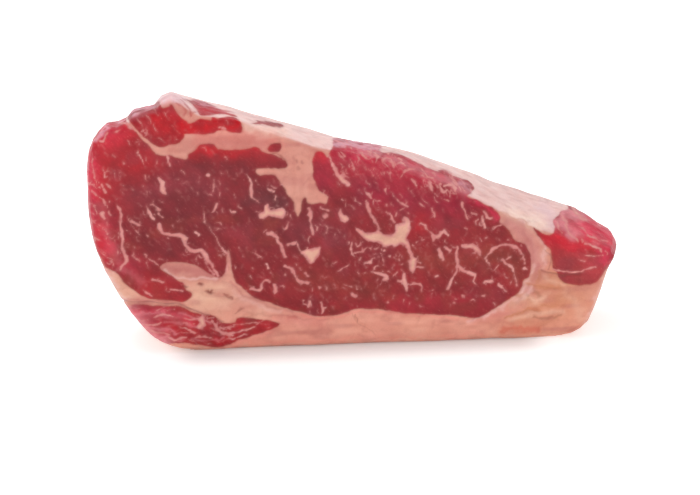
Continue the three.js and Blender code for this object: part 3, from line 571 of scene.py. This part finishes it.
def region_distance(x, z, corners):
    """Distance to a closed line, positive inside it."""
    line = rounded(corners)
    nearest = np.full(len(x), 1e3)
    inside = np.zeros(len(x), bool)
    for a, b in zip(line, np.roll(line, -1, 0)):
        nearest = np.minimum(nearest, segment_distance(x, z, a, b)[0])
        if a[1] != b[1]:
            crosses = (a[1] > z) != (b[1] > z)
            inside ^= crosses & (x < a[0] + (z - a[1]) * (b[0] - a[0]) / (b[1] - a[1]))
    return np.where(inside, nearest, -nearest)


def streak_distance(x, z, streaks):
    """Distance to the edge of the nearest streak, positive inside it, down to -FAR_INSIDE."""
    found = np.full(len(x), -FAR_INSIDE)
    for widths, *places in streaks:
        line = open_line(places)
        low = line.min(0) - STREAK_REACH - max(widths)
        high = line.max(0) + STREAK_REACH + max(widths)
        near = np.nonzero((x > low[0]) & (x < high[0]) & (z > low[1]) & (z < high[1]))[0]
        half = np.interp(np.linspace(0.0, 1.0, len(line)), np.linspace(0.0, 1.0, len(widths)), widths)
        for i in range(len(line) - 1):
            away, share = segment_distance(x[near], z[near], line[i], line[i + 1])
            found[near] = np.maximum(found[near], mix(half[i], half[i + 1], share) - away)
    return found


def random_flecks(seed):
    """Flecks of fat as FLECKS says, in the form of STREAKS, the longer ones bent less."""
    rng = np.random.default_rng(seed)
    made = []
    for count, (low_x, high_x, low_z, high_z), way, spread, lengths, halves in FLECKS:
        for _ in range(count):
            middle = np.array([rng.uniform(low_x, high_x), rng.uniform(low_z, high_z)])
            angle = math.radians(rng.normal(way, spread))
            run = np.array([math.cos(angle), math.sin(angle)]) * rng.uniform(*lengths) / 2
            across = np.array([-run[1], run[0]])
            bend = across * rng.normal(0.0, 0.45) / (1.0 + 0.6 * np.hypot(*run))
            half = rng.uniform(*halves)
            made.append(((half * 0.5, half, half * 0.4), middle - run, middle + bend, middle + run))
    return made


def blob(x, z, middle_x, middle_z, half_x, half_z):
    """A soft spot, 1 at its middle."""
    return np.exp(-(((x - middle_x) / half_x) ** 2) - ((z - middle_z) / half_z) ** 2)


def spots(x, z, rows):
    """How strongly the strongest of some soft spots shows."""
    return np.max([strength * blob(x, z, *place) for strength, *place in rows], axis=0)


def turned(degrees, share):
    """The matrix that turns places so that their x runs that way, and shortens it to a share."""
    way = math.radians(degrees)
    return np.array([
        [math.cos(way) * share, 0.0, -math.sin(way)],
        [0.0, 1.0, 0.0],
        [math.sin(way) * share, 0.0, math.cos(way)],
    ])


# The fine mesh


def fine_copy(node, name):
    """A copy of a CAD solid in small even quads."""
    piece = bpy.data.objects.new(name, node.data.copy())
    bpy.context.scene.collection.objects.link(piece)
    work = bmesh.new()
    work.from_mesh(piece.data)
    bmesh.ops.remove_doubles(work, verts=work.verts, dist=0.01 * MM)
    work.to_mesh(piece.data)
    work.free()
    remesh = piece.modifiers.new("Remesh", "REMESH")
    remesh.mode = "VOXEL"
    remesh.voxel_size = VOXEL * MM
    made = bpy.data.meshes.new_from_object(piece.evaluated_get(bpy.context.evaluated_depsgraph_get()))
    piece.modifiers.clear()
    piece.data = made
    piece.data.materials.clear()
    return piece


def places_of(mesh):
    found = np.empty(len(mesh.vertices) * 3, np.float32)
    mesh.vertices.foreach_get("co", found)
    return found.reshape(-1, 3).astype(float)


def normals_of(mesh):
    found = np.empty(len(mesh.vertices) * 3, np.float32)
    mesh.vertex_normals.foreach_get("vector", found)
    return found.reshape(-1, 3).astype(float)


def edges_of(mesh):
    found = np.empty(len(mesh.edges) * 2, np.int32)
    mesh.edges.foreach_get("vertices", found)
    return found.reshape(-1, 2)


def averaged(values, edges, share):
    """Each vertex's values moved a share of the way to its neighbours' mean."""
    count = len(values)
    first, second = edges.T
    beside = np.bincount(first, minlength=count) + np.bincount(second, minlength=count)
    columns = []
    for column in values.reshape(count, -1).T:
        total = np.bincount(first, column[second], count) + np.bincount(second, column[first], count)
        columns.append(mix(column, total / np.maximum(beside, 1), share))
    return np.stack(columns, 1).reshape(values.shape)


def set_places(mesh, places):
    mesh.vertices.foreach_set("co", places.astype(np.float32).ravel())
    mesh.update()


def smooth_mesh(mesh, rounds):
    """Takes the voxels' steps out without shrinking the form."""
    places, edges = places_of(mesh), edges_of(mesh)
    for _ in range(rounds):
        places = averaged(places, edges, 0.55)
        places = averaged(places, edges, -0.57)
    set_places(mesh, places)


class Surface:
    """The vertices' places in millimetres, where on the drawing they fall, and to which side each belongs."""

    def __init__(self, mesh):
        self.places = places_of(mesh) / MM
        self.places[:, 0] += MIDDLE_X
        self.normals = normals_of(mesh)
        self.edges = edges_of(mesh)
        _, ny, nz = self.normals.T
        self.shown = smoothstep(0.25, 0.75, -ny)
        self.far = smoothstep(0.25, 0.75, ny)
        self.side = 1.0 - self.shown - self.far
        self.upper = self.side * smoothstep(0.1, 0.6, nz)
        self.bottom = self.side * smoothstep(0.3, 0.8, -nz)
        eye = np.array(DRAWN_FROM)
        share = (-HALF_THICKNESS - eye[1]) / (self.places[:, 1] - eye[1])
        self.x, _, self.z = (eye + (self.places - eye) * share[:, None]).T


def shaken(surface, x, z, seed, amount, fine=0.5):
    """Drawn places moved a little, so that lines come out ragged. The smallest bends have a share of fine."""
    noise = Noise(seed)
    places = surface.places
    x = x + amount * noise.at(places, 3.2) + fine * amount * noise.at(places + 50, 1.3)
    z = z + amount * noise.at(places + 90, 3.2) + fine * amount * noise.at(places + 140, 1.3)
    return x, z


def far_face_places(surface):
    """Where on the drawing a place on the far face falls: the muscles run through, slightly changed."""
    x, _, z = surface.places.T
    top_drop = np.interp(x, *zip(*FAR_TOP_DROP))
    height = smoothstep(5.0, 85.0, z + top_drop)
    wander = Noise(FAR_WANDER_SEED)
    shift_x = FAR_WANDER[0] * wander.at(surface.places, 26.0)
    shift_z = FAR_WANDER[1] * wander.at(surface.places + 70, 22.0)
    return x + shift_x, z + top_drop * height + shift_z


def far_rim(surface):
    """Distance into the rim of fat that the upper outside leaves along the top of the far face."""
    near = surface.upper
    for _ in range(FAR_RIM_ROUNDS):
        near = averaged(near, surface.edges, 0.9)
    return (near - 0.14) * 9.0 + 0.6 * Noise(FAR_RIM_SEED).at(surface.places, 4.0)


def muscle_distance(x, z):
    """Distance into lean on the drawing, positive inside a muscle."""
    found = np.max([region_distance(x, z, muscle) for muscle in MUSCLES], axis=0)
    return np.clip(found, -FAR_INSIDE, FAR_INSIDE)


def far_streaks():
    """The shown face's streaks as they lie on the far face: moved a little, turned, and some left out."""
    rng = np.random.default_rng(FAR_STREAK_SEED)
    made = []
    for widths, *places in STREAKS:
        if rng.random() < FAR_LEFT_OUT:
            continue
        line = np.array(places, float)
        middle = line.mean(0)
        turn = rng.normal(0.0, 0.5)
        spin = np.array([[math.cos(turn), -math.sin(turn)], [math.sin(turn), math.cos(turn)]])
        moved = (line - middle) @ spin.T * rng.uniform(0.8, 1.2) + middle + rng.normal(0.0, 3.0, 2)
        made.append((widths, *[tuple(p) for p in moved]))
    return made


def draw_plain_fat(surface):
    """Distance into the larger fat for each vertex, in millimetres, negative in lean."""
    x, z = shaken(surface, surface.x, surface.z, OUTLINE_SEED, OUTLINE_SHAKE)
    behind = surface.side * smoothstep(-14.0, 12.0, surface.places[:, 1])
    x = x + BEHIND_WANDER[0] * behind * Noise(BEHIND_X_SEED).at(surface.places, 6.0)
    z = z + BEHIND_WANDER[1] * behind * Noise(BEHIND_Z_SEED).at(surface.places, 6.0)
    fat = mix(-muscle_distance(x, z), -muscle_distance(*far_face_places(surface)), surface.far)
    fat = np.maximum(fat, mix(-FAR_INSIDE, far_rim(surface), surface.far))
    row_x = surface.places[:, 0] + 1.5 * Noise(LOW_ROW_SEED).at(surface.places, 7.0)
    return mix(fat, -muscle_distance(row_x, np.full(len(x), LOW_ROW)), surface.bottom)


def draw_marbling(surface):
    """Distance into the marbling for each vertex, in millimetres, negative in lean."""
    x, z = shaken(surface, surface.x, surface.z, MARBLING_SEED, MARBLING_SHAKE, 1.0)
    marbling = streak_distance(x, z, STREAKS + random_flecks(FLECK_SEED))
    patches = np.max([region_distance(x, z, patch) for patch in PATCHES], axis=0)
    marbling = np.maximum(marbling, patches)
    far = np.nonzero(surface.far > 0.5)[0]
    far_x, far_z = far_face_places(surface)
    marbling[far] = streak_distance(far_x[far], far_z[far], far_streaks() + random_flecks(FAR_FLECK_SEED))
    rough = Noise(ROUGH_SEED)
    marbling += MARBLING_ROUGH * rough.at(surface.places, 1.0)
    marbling += MARBLING_ROUGH * rough.at(surface.places + 60, 2.5)
    return mix(marbling, -FAR_INSIDE, surface.bottom)


# Tones

STRAND_TURN = turned(-58, 0.3)  # strands in the lean run down towards the tail
FOLD_TURN = turned(25, 0.35)  # folds in the tail's fat rise to the right
LENGTHWISE = (0.3, 1.0, 1.0)
UPRIGHT = (1.0, 1.0, 0.25)
LONG_LENGTHWISE = (0.25, 1.0, 1.0)
STRAND_TINT = (0.05, 0.11, 0.12)  # how much red, green and blue differ from strand to strand of fat

# Soft spots of colour: strength, the middle's x and z, and half the length and height.
DULL_SPOTS = [(1, -62, 60, 26, 20), (1, -32, 57, 22, 19), (0.5, 0, 42, 18, 12), (0.8, -66, 45, 20, 9)]
SCARLET_SPOTS = [
    (1, -98, 78, 9, 22), (1, -88, 90, 9, 8), (0.7, -80, 80, 9, 9), (1, -50, 82, 16, 3.5), (1, -95, 48, 5, 14),
    (0.4, -76, 29, 11, 7), (1, -62, 92, 22, 7), (0.7, -40, 10, 11, 4), (0.9, -12, 80, 4, 4),
    (0.9, 83, 40, 13, 5), (0.6, -68, 12, 22, 9), (0.6, 24, 50, 4, 4),
]
# Crimson spots: mostly painted light where upper edges turn up to the light.
CRIMSON_AND_LIGHT_SPOTS = [(0.7, 16, 72, 26, 8), (0.6, 42, 60, 10, 6), (0.8, -52, 97.5, 14, 3), (0.4, 28, 16, 26, 5)]
# Rose spots: mostly painted sheen and light on the left edge, the eye's upper edge and the tail's top.
ROSE_AND_SHEEN_SPOTS = [
    (0.8, -98.5, 74, 3.5, 18), (0.45, -90, 91, 7, 6), (0.7, 90, 46, 12, 8), (0.5, -97, 58, 2.5, 14),
    (0.7, 0, 79, 9, 4.5), (0.45, -79, 11, 6, 7), (0.4, 16, 75, 10, 4), (0.35, 30, 69, 9, 4),
    (0.35, -92, 48, 5, 12), (0.5, 80, 45, 7, 5), (0.45, 94, 36, 5, 5), (0.3, -85, 37, 6, 4),
]
LOBE_SPOT = (-12, 70, 4.5, 8)
TAIL_SPOT = (86, 30, 15, 14)
PINK_FAT_SPOTS = [(0.8, -40, 86, 22, 7), (0.5, -20, 70, 12, 12), (0.6, -70, 84, 12, 6)]
LIGHT_FAT_SPOTS = [(1, -56, 23, 11, 7), (0.8, -88, 26, 5, 8), (0.4, -33, 13, 12, 4)]
ORANGE_FAT_SPOT = (75, 17, 22, 17)
FOLDED_FAT_SPOT = (74, 18, 24, 20)
UPRIGHT_FAT_SPOT = (-20, 70, 14, 16)


def toned(base, *layers):
    """Colours mixed in order: each layer is a colour and how far it covers each vertex."""
    colours = base
    for colour, share in layers:
        colours = mix(colours, np.array(colour, float), np.clip(share, 0.0, 1.0)[:, None])
    return colours


def line_distance(x, z, places):
    line = open_line(places)
    nearest = np.full(len(x), 99.0)
    for a, b in zip(line[:-1], line[1:]):
        nearest = np.minimum(nearest, segment_distance(x, z, a, b)[0])
    return nearest


def painted(colours, x, z, strokes):
    """The colours with soft strokes over them."""
    for colour, strength, width, *places in strokes:
        share = strength * np.exp(-((line_distance(x, z, places) / width) ** 2))
        colours = mix(colours, np.array(colour), share[:, None])
    return colours


def lean_tones(surface):
    x, z = shaken(surface, surface.x, surface.z, LEAN_SHAKE_SEED, TONE_SHAKE)
    cloud = Noise(LEAN_SEED)
    places = surface.places
    mottle = 0.5 + 0.5 * cloud.at(places, 9.0)
    brown = smoothstep(0.15, 0.8, cloud.at(places + 80, 5.0)) * smoothstep(70.0, 50.0, z)
    colours = toned(
        np.tile(MEAT_RED, (len(x), 1)),
        (MEAT_DULL, spots(x, z, DULL_SPOTS) * (0.75 + 0.25 * mottle)),
        (MEAT_LOBE, blob(x, z, *LOBE_SPOT)),
        (MEAT_TAIL, 0.85 * blob(x, z, *TAIL_SPOT)),
        # The crimson layer is mostly painted light on the upper edges.
        (MEAT_CRIMSON, spots(x, z, CRIMSON_AND_LIGHT_SPOTS)),
        (MEAT_SCARLET, spots(x, z, SCARLET_SPOTS) * (0.7 + 0.3 * mottle)),
        # The rose layer is mostly painted sheen and light.
        (MEAT_ROSE_AND_SHEEN, spots(x, z, ROSE_AND_SHEEN_SPOTS)),
        (MEAT_MAUVE, 0.4 * smoothstep(0.1, 0.8, cloud.at(places + 40, 6.0))),
        (MEAT_BROWN, 0.4 * brown),
    )
    colours = painted(colours, x, z, LEAN_STROKES)
    strands = cloud.at(places @ STRAND_TURN, 2.6)
    return colours * (1.0 + 0.14 * strands + 0.11 * cloud.at(places + 15, 4.2))[:, None]


def strand_tones(surface, x, z, cloud):
    """How much brighter each vertex is for its strand of fat. They stand upright in the seam's stem."""
    return 1.0 + np.array(STRAND_TINT) * mix(
        cloud.at(surface.places * np.array(LENGTHWISE), 1.5),
        cloud.at(surface.places * np.array(UPRIGHT), 1.5),
        blob(x, z, *UPRIGHT_FAT_SPOT),
    )[:, None]


def thread_tones(surface, marbling, cloud):
    """The marbling's colours, creamier inside its thick parts."""
    bright = smoothstep(-0.2, 0.8, cloud.at(surface.places + 120, 5.0))
    threads = np.tile(FAT_MARBLED, (len(marbling), 1))
    return toned(threads, (FAT_BRIGHT, bright), (FAT_INNER, smoothstep(0.5, 1.3, marbling)))


def fat_tones(surface, plain_fat, marbling):
    x, z = shaken(surface, surface.x, surface.z, FAT_SHAKE_SEED, TONE_SHAKE)
    cloud = Noise(FAT_SEED)
    places = surface.places
    patch = 0.5 + 0.5 * cloud.at(places, 11.0)
    pink = np.maximum(spots(x, z, PINK_FAT_SPOTS), 0.35 + 0.3 * cloud.at(places + 20, 8.0))
    folds = cloud.at(places @ FOLD_TURN, 3.6) + 0.5 * cloud.at(places @ FOLD_TURN + 30, 1.8)
    folded = blob(x, z, *FOLDED_FAT_SPOT)
    veins = cloud.at(places * np.array(LONG_LENGTHWISE) + 200, 2.4)
    colours = toned(
        np.tile(FAT_CREAM, (len(x), 1)),
        (FAT_LOW, smoothstep(24.0, 8.0, z)),
        (FAT_PINK, pink * patch),
        (FAT_LIGHT, spots(x, z, LIGHT_FAT_SPOTS)),
        (FAT_ORANGE, blob(x, z, *ORANGE_FAT_SPOT)),
        # Across the tail's folds: painted light on their ridges, and painted shade, partly the fat's own
        # rust, in their hollows.
        (FAT_LIGHT, 0.30 * folded * smoothstep(0.05, 0.9, folds)),
        (FAT_RUST, 0.45 * folded * smoothstep(0.05, 0.9, -folds)),
        # The upper outside is paler: partly the fat's own colour, partly painted light from above.
        (FAT_PALE, surface.upper),
        (FAT_MAUVE, 0.42 * smoothstep(0.1, 0.8, veins) * (1.0 - surface.upper)),
    )
    colours = painted(colours, x, z, FAT_STROKES) * strand_tones(surface, x, z, cloud)
    marbled = smoothstep(-0.6, 0.6, marbling - plain_fat)
    return mix(colours, thread_tones(surface, marbling, cloud), marbled[:, None])


# Relief

LEAN_RISE = 0.15
FIBRE_RISE = 0.10
FINE_FIBRE_RISE = 0.07
LUMP_RISE = 0.18
BROAD_LUMP_RISE = 0.12
SWELL_RISE = 0.35
ROLL_RISE = 1.1  # the roll of the cap muscle
ROLL_WIDTH = 3.2
ROLL_ENDS = ((-62, 92.5), (-44, 92.8))
LUMP_STRETCH = (0.45, 1.0, 1.0)

# Creases: how deep, how wide, and the places along each.
CREASES = [
    (0.42, 0.45, (-88, 22.6), (-79, 22), (-72, 21), (-66, 20.6), (-62, 18), (-55, 15.3), (-50, 12.6)),
    (0.25, 0.5, (-50, 29), (-45, 27), (-40, 24), (-33, 20.2), (-22, 15.4)),
    (0.3, 0.5, (-1, 14), (1, 9.5), (6, 6.5), (8, 4)),
    (0.45, 0.6, (71, 29), (76, 27), (80, 26.4), (86, 26.8)),
    (0.4, 0.5, (72, 38), (75, 34), (74, 29)),
    (0.25, 0.7, (61, 10.4), (66.6, 12.2), (70.4, 11.4)),
    (0.20, 0.6, (69, 8.9), (74, 8.3), (79, 8.5)),
    (0.25, 0.7, (66, 23.4), (70, 22.4), (77.5, 20.6)),
    (0.4, 0.6, (-64.5, 28.4), (-63, 27.6)),
    (0.4, 0.6, (-58.5, 28.8), (-56.8, 28.2)),
    (0.4, 0.6, (-55.5, 25), (-53, 24.6)),
    (0.3, 0.6, (-50, 23), (-47, 22)),
    (0.4, 0.6, (-43, 17), (-45, 15.5)),
]


def crease_depth(surface):
    """How far each vertex lies down a crease, in millimetres."""
    x, z = shaken(surface, surface.x, surface.z, CREASE_SEED, CREASE_SHAKE)
    depth = np.zeros(len(x))
    for deep, wide, *places in CREASES:
        depth = np.maximum(depth, deep * np.exp(-((line_distance(x, z, places) / wide) ** 2)))
    return depth * (1.0 - surface.far)


def relief(surface, plain_fat, crease):
    """How far each vertex stands out, in millimetres."""
    fine, broad = Noise(FINE_RELIEF_SEED), Noise(BROAD_RELIEF_SEED)
    places = surface.places
    lean = smoothstep(2.0, -2.5, plain_fat)
    fibres = FIBRE_RISE * fine.at(places, 1.7) + FINE_FIBRE_RISE * fine.at(places + 33, 0.95)
    lumps = LUMP_RISE * broad.at(places * np.array(LUMP_STRETCH), 3.4)
    lumps += BROAD_LUMP_RISE * broad.at(places + 11, 6.5)
    height = LEAN_RISE * lean - crease + mix(lumps, fibres, lean)
    height += SWELL_RISE * broad.at(places + 77, 13.0)
    from_roll = segment_distance(surface.x, surface.z, *ROLL_ENDS)[0]
    height += surface.shown * ROLL_RISE * np.exp(-((from_roll / ROLL_WIDTH) ** 2))
    return height


# Material


class Nodes:
    """Short calls for a material's nodes."""

    def __init__(self, name):
        self.material = bpy.data.materials.new(name)
        self.material.use_nodes = True
        self.tree = self.material.node_tree
        self.tree.nodes.clear()

    def add(self, kind, **settings):
        node = self.tree.nodes.new(kind)
        for key, value in settings.items():
            setattr(node, key, value)
        return node

    def put(self, value, socket):
        if isinstance(value, bpy.types.NodeSocket):
            self.tree.links.new(value, socket)
        else:
            socket.default_value = value

    def attribute(self, name, colour=False):
        node = self.add("ShaderNodeAttribute", attribute_name=name)
        return node.outputs["Color" if colour else "Fac"]

    def math(self, operation, a, b=0.0, c=0.0):
        node = self.add("ShaderNodeMath", operation=operation)
        for value, socket in zip((a, b, c), node.inputs):
            self.put(value, socket)
        return node.outputs[0]

    def ramp(self, value, low, high, to_low=0.0, to_high=1.0):
        node = self.add("ShaderNodeMapRange", interpolation_type="SMOOTHSTEP")
        names = ("Value", "From Min", "From Max", "To Min", "To Max")
        for name, setting in zip(names, (value, low, high, to_low, to_high)):
            self.put(setting, node.inputs[name])
        return node.outputs[0]

    def blend(self, share, a, b, kind="MIX"):
        node = self.add("ShaderNodeMix", data_type="RGBA", blend_type=kind)
        for value, socket in zip((share, a, b), (node.inputs[0], node.inputs[6], node.inputs[7])):
            self.put(value, socket)
        return node.outputs[2]

    def vector(self, operation, a, b=(0.0, 0.0, 0.0)):
        node = self.add("ShaderNodeVectorMath", operation=operation)
        self.put(a, node.inputs[0])
        self.put(b, node.inputs[1])
        return node.outputs["Value" if operation == "LENGTH" else "Vector"]

    def scaled(self, colour, amount):
        node = self.add("ShaderNodeVectorMath", operation="SCALE")
        self.put(colour, node.inputs[0])
        self.put(amount, node.inputs["Scale"])
        return node.outputs["Vector"]

    def noise(self, where, scale, detail=2.0, rough=0.5, twist=0.0):
        node = self.add("ShaderNodeTexNoise")
        self.put(where, node.inputs["Vector"])
        names = ("Scale", "Detail", "Roughness", "Distortion")
        for name, setting in zip(names, (scale, detail, rough, twist)):
            node.inputs[name].default_value = setting
        return node.outputs["Fac"]

    def stretched(self, where, turn, scale):
        node = self.add("ShaderNodeMapping", vector_type="TEXTURE")
        self.put(where, node.inputs["Vector"])
        node.inputs["Rotation"].default_value = turn
        node.inputs["Scale"].default_value = scale
        return node.outputs[0]

    def shader(self, **settings):
        """The material's surface, with what is the same all over it."""
        node = self.add("ShaderNodeBsdfPrincipled")
        for name, value in settings.items():
            node.inputs[name.replace("_", " ")].default_value = value
        output = self.add("ShaderNodeOutputMaterial")
        self.tree.links.new(node.outputs[0], output.inputs["Surface"])
        return node


def meat_material():
    """Meat that turns from lean to fat, with a crisp edge, where the mesh's number for fat passes nought."""
    n = Nodes("raw_beef")
    where = n.add("ShaderNodeTexCoord").outputs["Object"]
    fat = n.attribute("fat")
    crease = n.attribute("crease")
    lean_colour = n.attribute("lean_colour", colour=True)
    fat_colour = n.attribute("fat_colour", colour=True)

    # Lean: cloudy, with fine fibres that run down and to the right, and pale specks of fat.
    fibre_way = n.stretched(where, (0.0, math.radians(52), 0.0), (2.6, 1.0, 1.0))
    cloud = n.noise(where, 330.0, 3.0)
    fibre = n.noise(fibre_way, 1500.0, 3.0, 0.6)
    grain = n.noise(where, 2200.0, 2.0, 0.6)
    shade = n.math("MULTIPLY", n.ramp(cloud, 0.25, 0.75, 0.93, 1.07), n.ramp(fibre, 0.2, 0.8, 0.92, 1.08))
    lean = n.scaled(lean_colour, shade)
    specks = n.math("MULTIPLY", n.ramp(fibre, 0.56, 0.74), n.ramp(grain, 0.42, 0.65))
    lean = n.blend(n.math("MULTIPLY", specks, 0.18), lean, fat_colour)
    lean = n.blend(n.ramp(fat, -1.1, 0.1, 0.0, 0.10), lean, fat_colour)

    # Fat: pinker where it is thin, with faint clouds.
    veil = n.noise(where, 210.0, 3.0, 0.55, 0.4)
    pinker = n.blend(n.ramp(veil, 0.42, 0.75, 0.0, 0.20), fat_colour, lean_colour)
    pinker = n.scaled(pinker, n.ramp(grain, 0.2, 0.8, 0.96, 1.04))
    thin = n.blend(n.ramp(fat, 0.0, 0.9, 0.26, 0.0), pinker, lean_colour)
    ragged = n.math("MULTIPLY_ADD", n.math("SUBTRACT", grain, 0.5), 0.35, fat)
    colour = n.blend(n.ramp(ragged, -0.28, 0.32), lean, thin)
    # Painted shade: darker down the creases.
    colour = n.blend(n.ramp(crease, 0.12, 0.6, 0.0, 0.55), colour, (*CREASE_SHADE, 1.0))

    shader = n.shader(
        Subsurface_Weight=0.15,
        Subsurface_Radius=(1.0, 0.35, 0.25),
        Subsurface_Scale=1.4 * MM,
        Specular_IOR_Level=0.16,
        Coat_Weight=0.05,
        Coat_Roughness=0.25,
    )
    n.put(colour, shader.inputs["Base Color"])
    n.put(n.ramp(cloud, 0.3, 0.7, 0.38, 0.52), shader.inputs["Roughness"])
    bump = n.add("ShaderNodeBump")
    bump.inputs["Strength"].default_value = 0.5
    bump.inputs["Distance"].default_value = 0.3 * MM
    rise = n.math("ADD", n.math("MULTIPLY", fibre, 0.6), n.math("MULTIPLY", grain, 0.4))
    n.put(n.math("MULTIPLY", rise, n.ramp(fat, 0.5, -0.3, 0.5, 1.0)), bump.inputs["Height"])
    n.put(bump.outputs[0], shader.inputs["Normal"])
    return n.material


# The steak


def keep_number(mesh, name, values):
    attribute = mesh.attributes.new(name, "FLOAT", "POINT")
    attribute.data.foreach_set("value", values.astype(np.float32))


def keep_colour(mesh, name, colours):
    attribute = mesh.attributes.new(name, "FLOAT_COLOR", "POINT")
    full = np.concatenate([colours, np.ones((len(colours), 1))], axis=1)
    attribute.data.foreach_set("color", full.astype(np.float32).ravel())


def make_steak():
    """The steak's fine copy, drawn on, raised and dressed."""
    piece = fine_copy(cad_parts["steak"], "steak_flesh")
    mesh = piece.data
    smooth_mesh(mesh, SMOOTHING_ROUNDS)
    surface = Surface(mesh)
    plain_fat = draw_plain_fat(surface)
    marbling = draw_marbling(surface)
    crease = crease_depth(surface)
    height = averaged(relief(surface, plain_fat, crease), surface.edges, 0.5)
    places = surface.places + surface.normals * height[:, None]
    on_table = surface.places[:, 2] < FLAT_BELOW
    places[:, 2] = np.where(on_table, 0.0, np.maximum(places[:, 2], 0.0))
    places[:, 0] -= MIDDLE_X
    set_places(mesh, places * MM)
    keep_number(mesh, "fat", np.maximum(plain_fat, marbling))
    keep_number(mesh, "crease", crease)
    keep_colour(mesh, "lean_colour", lean_tones(surface))
    keep_colour(mesh, "fat_colour", fat_tones(surface, plain_fat, marbling))
    mesh.materials.append(meat_material())
    mesh.shade_smooth()
    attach(piece, "root")
    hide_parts("steak")


# The set


def make_floor():
    """A white table that glows a little, less so close to the steak: a painted shadow."""
    corners = [(x * FLOOR_HALF, y * FLOOR_HALF, 0) for x, y in ((-1, -1), (1, -1), (1, 1), (-1, 1))]
    mesh = bpy.data.meshes.new("floor")
    mesh.from_pydata(corners, [], [(0, 1, 2, 3)])
    floor = bpy.data.objects.new("floor", mesh)
    bpy.context.scene.collection.objects.link(floor)
    n = Nodes("white_table")
    where = n.add("ShaderNodeTexCoord").outputs["Object"]
    outward = n.vector("SUBTRACT", n.vector("ABSOLUTE", where), PAINTED_SHADOW_HALF)
    away = n.vector("LENGTH", n.vector("MAXIMUM", outward))
    shader = n.shader(
        Base_Color=TABLE_WHITE,
        Roughness=0.6,
        Specular_IOR_Level=0.1,
        Emission_Color=GLOW_WHITE,
    )
    # Painted shadow: the glow is weaker near the steak.
    n.put(n.ramp(away, 0.0, PAINTED_SHADOW_REACH, *SHADOW_AND_GLOW_LEVELS), shader.inputs["Emission Strength"])
    mesh.materials.append(n.material)


def put_in_scene(name, data, place, way):
    """A lamp or camera at a place that looks that way."""
    made = bpy.data.objects.new(name, data)
    made.location = place
    made.rotation_mode = "QUATERNION"
    made.rotation_quaternion = way.to_track_quat("-Z", "Y")
    bpy.context.scene.collection.objects.link(made)
    return made


def make_light():
    """A white room, brightest above and behind the steak, with a soft lamp over it and one low in front."""
    world = bpy.data.worlds.new("white_room")
    world.use_nodes = True
    nodes, links = world.node_tree.nodes, world.node_tree.links
    toward = nodes.new("ShaderNodeVectorMath")
    toward.operation = "DOT_PRODUCT"
    links.new(nodes.new("ShaderNodeTexCoord").outputs["Generated"], toward.inputs[0])
    toward.inputs[1].default_value = BRIGHT_WAY
    level = nodes.new("ShaderNodeMapRange")
    links.new(toward.outputs["Value"], level.inputs["Value"])
    for name, setting in zip(("From Min", "From Max", "To Min", "To Max"), (-0.7, 1.0, *ROOM_LEVELS)):
        level.inputs[name].default_value = setting
    links.new(level.outputs[0], nodes["Background"].inputs["Strength"])
    nodes["Background"].inputs["Color"].default_value = (1.0, 1.0, 1.0, 1.0)
    bpy.context.scene.world = world
    for name, place, width, watts in LAMPS:
        data = bpy.data.lights.new(name, "AREA")
        data.size = width
        data.energy = watts
        put_in_scene(name, data, Vector(place), Vector(LAMP_AIM) - Vector(place))


def make_camera():
    """The photograph's view: from above and slightly from the thick end's side."""
    level = math.cos(CAMERA_ELEVATION)
    back = Vector((
        math.sin(CAMERA_AZIMUTH) * level,
        -math.cos(CAMERA_AZIMUTH) * level,
        math.sin(CAMERA_ELEVATION),
    ))
    data = bpy.data.cameras.new("camera")
    data.lens = CAMERA_LENS
    data.sensor_width = CAMERA_SENSOR
    place = Vector(CAMERA_AIM) + back * CAMERA_DISTANCE
    bpy.context.scene.camera = put_in_scene("camera", data, place, -back)


make_camera()
make_light()
make_floor()
make_steak()
bpy.context.scene.view_settings.view_transform = "Standard"
